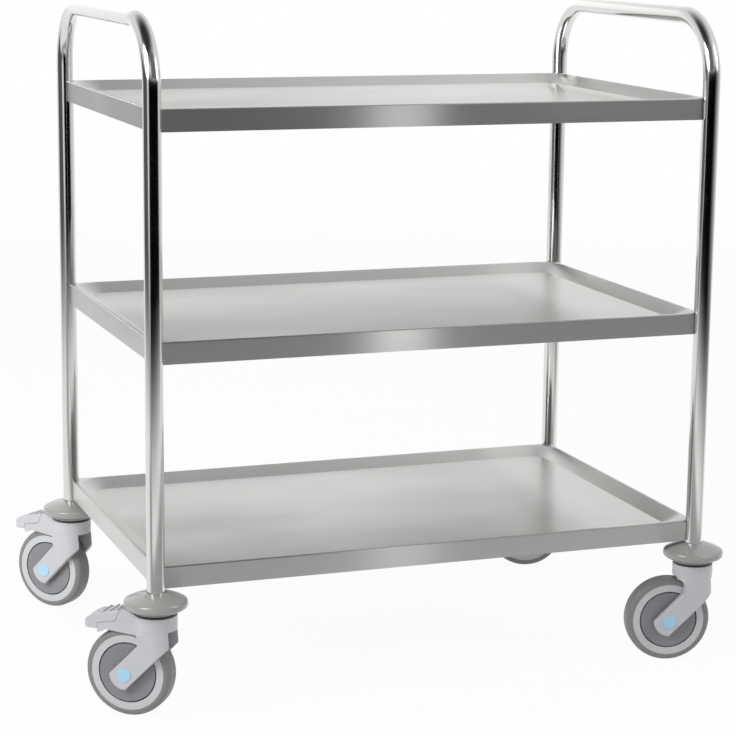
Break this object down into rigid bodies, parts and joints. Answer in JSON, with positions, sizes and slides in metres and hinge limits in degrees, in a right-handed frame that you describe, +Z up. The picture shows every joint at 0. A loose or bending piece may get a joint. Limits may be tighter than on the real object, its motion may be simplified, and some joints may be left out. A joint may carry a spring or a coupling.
{
  "type": "three-tier utility cart",
  "caption": "Serving cart: stacked recessed metal shelves between bent tube end frames that form push handles, rolling on swivel casters with bumper discs and foot brakes.",
  "frame": {"origin": "on the floor under the middle of the whole cart", "axes": "+X along the cart to its unbraked end, +Y across it from front to rear, +Z up"},
  "size_m": [0.9514, 0.6498, 0.9585],
  "materials": {
    "chromed_tube": "polished",
    "stainless_sheet": "satin, brushed along the length",
    "zinc_fixings": "zinc plated",
    "bearing_steel": "ground",
    "seal_plastic": "matte",
    "bumper_rubber": "moulded, satin",
    "fork_plastic": "moulded, satin",
    "tyre_rubber": "moulded, matte",
    "rim_plastic": "moulded, satin",
    "cover_plastic": "moulded, satin",
    "cap_plastic": "moulded, gloss",
    "pad_rubber": "moulded, matte"
  },
  "bodies": {
    "frame": {"left_end_frame": "chromed_tube", "right_end_frame": "chromed_tube", "top_shelf": "stainless_sheet", "middle_shelf": "stainless_sheet", "bottom_shelf": "stainless_sheet", "shelf_bolts": "zinc_fixings", "shelf_washers": "zinc_fixings", "post_nuts": "zinc_fixings", "stem_plugs": "zinc_fixings", "caster_stems": "zinc_fixings", "swivel_seals": "seal_plastic", "front_left_bumper": "bumper_rubber", "rear_left_bumper": "bumper_rubber", "front_right_bumper": "bumper_rubber", "rear_right_bumper": "bumper_rubber"},
    "front_left_caster": {"front_left_fork": "fork_plastic", "front_left_swivel_bearing": "bearing_steel", "front_left_axle_bolt": "bearing_steel", "front_left_axle_nut": "zinc_fixings", "front_left_axle_caps": "cap_plastic", "front_left_pedal_pin": "fork_plastic", "front_left_brake_spring": "bearing_steel"},
    "front_left_wheel": {"front_left_tyre": "tyre_rubber", "front_left_wheel_rim": "rim_plastic", "front_left_hub_covers": "cover_plastic", "front_left_wheel_bearings": "bearing_steel"},
    "front_left_brake": {"front_left_brake_pedal": "fork_plastic", "front_left_brake_pad": "pad_rubber"},
    "rear_left_caster": {"rear_left_fork": "fork_plastic", "rear_left_swivel_bearing": "bearing_steel", "rear_left_axle_bolt": "bearing_steel", "rear_left_axle_nut": "zinc_fixings", "rear_left_axle_caps": "cap_plastic", "rear_left_pedal_pin": "fork_plastic", "rear_left_brake_spring": "bearing_steel"},
    "rear_left_wheel": {"rear_left_tyre": "tyre_rubber", "rear_left_wheel_rim": "rim_plastic", "rear_left_hub_covers": "cover_plastic", "rear_left_wheel_bearings": "bearing_steel"},
    "rear_left_brake": {"rear_left_brake_pedal": "fork_plastic", "rear_left_brake_pad": "pad_rubber"},
    "front_right_caster": {"front_right_fork": "fork_plastic", "front_right_swivel_bearing": "bearing_steel", "front_right_axle_bolt": "bearing_steel", "front_right_axle_nut": "zinc_fixings", "front_right_axle_caps": "cap_plastic"},
    "front_right_wheel": {"front_right_tyre": "tyre_rubber", "front_right_wheel_rim": "rim_plastic", "front_right_hub_covers": "cover_plastic", "front_right_wheel_bearings": "bearing_steel"},
    "rear_right_caster": {"rear_right_fork": "fork_plastic", "rear_right_swivel_bearing": "bearing_steel", "rear_right_axle_bolt": "bearing_steel", "rear_right_axle_nut": "zinc_fixings", "rear_right_axle_caps": "cap_plastic"},
    "rear_right_wheel": {"rear_right_tyre": "tyre_rubber", "rear_right_wheel_rim": "rim_plastic", "rear_right_hub_covers": "cover_plastic", "rear_right_wheel_bearings": "bearing_steel"}
  },
  "joints": [
    {"name": "front_left_swivel", "type": "hinge", "parent": "frame", "child": "front_left_caster", "pos_m": [-0.38827, -0.28086, 0.146], "axis": [0, 0, 1], "continuous": true},
    {"name": "front_left_wheel_spin", "type": "hinge", "parent": "front_left_caster", "child": "front_left_wheel", "pos_m": [-0.41743, -0.25808, 0.0625], "axis": [0.6157, 0.788, 0], "continuous": true},
    {"name": "front_left_brake_pedal", "type": "hinge", "parent": "front_left_caster", "child": "front_left_brake", "pos_m": [-0.41664, -0.2587, 0.141], "axis": [0.6157, 0.788, 0], "range_deg": [0, 12]},
    {"name": "rear_left_swivel", "type": "hinge", "parent": "frame", "child": "rear_left_caster", "pos_m": [-0.38827, 0.23914, 0.146], "axis": [0, 0, 1], "continuous": true},
    {"name": "rear_left_wheel_spin", "type": "hinge", "parent": "rear_left_caster", "child": "rear_left_wheel", "pos_m": [-0.41205, 0.26748, 0.0625], "axis": [0.766, 0.6428, 0], "continuous": true},
    {"name": "rear_left_brake_pedal", "type": "hinge", "parent": "rear_left_caster", "child": "rear_left_brake", "pos_m": [-0.41141, 0.26672, 0.141], "axis": [0.766, 0.6428, 0], "range_deg": [0, 12]},
    {"name": "front_right_swivel", "type": "hinge", "parent": "frame", "child": "front_right_caster", "pos_m": [0.43173, -0.28086, 0.146], "axis": [0, 0, 1], "continuous": true},
    {"name": "front_right_wheel_spin", "type": "hinge", "parent": "front_right_caster", "child": "front_right_wheel", "pos_m": [0.39583, -0.27191, 0.0625], "axis": [0.2419, 0.9703, 0], "continuous": true},
    {"name": "rear_right_swivel", "type": "hinge", "parent": "frame", "child": "rear_right_caster", "pos_m": [0.43173, 0.23914, 0.146], "axis": [0, 0, 1], "continuous": true},
    {"name": "rear_right_wheel_spin", "type": "hinge", "parent": "rear_right_caster", "child": "rear_right_wheel", "pos_m": [0.39696, 0.25179, 0.0625], "axis": [0.342, 0.9397, 0], "continuous": true}
  ]
}
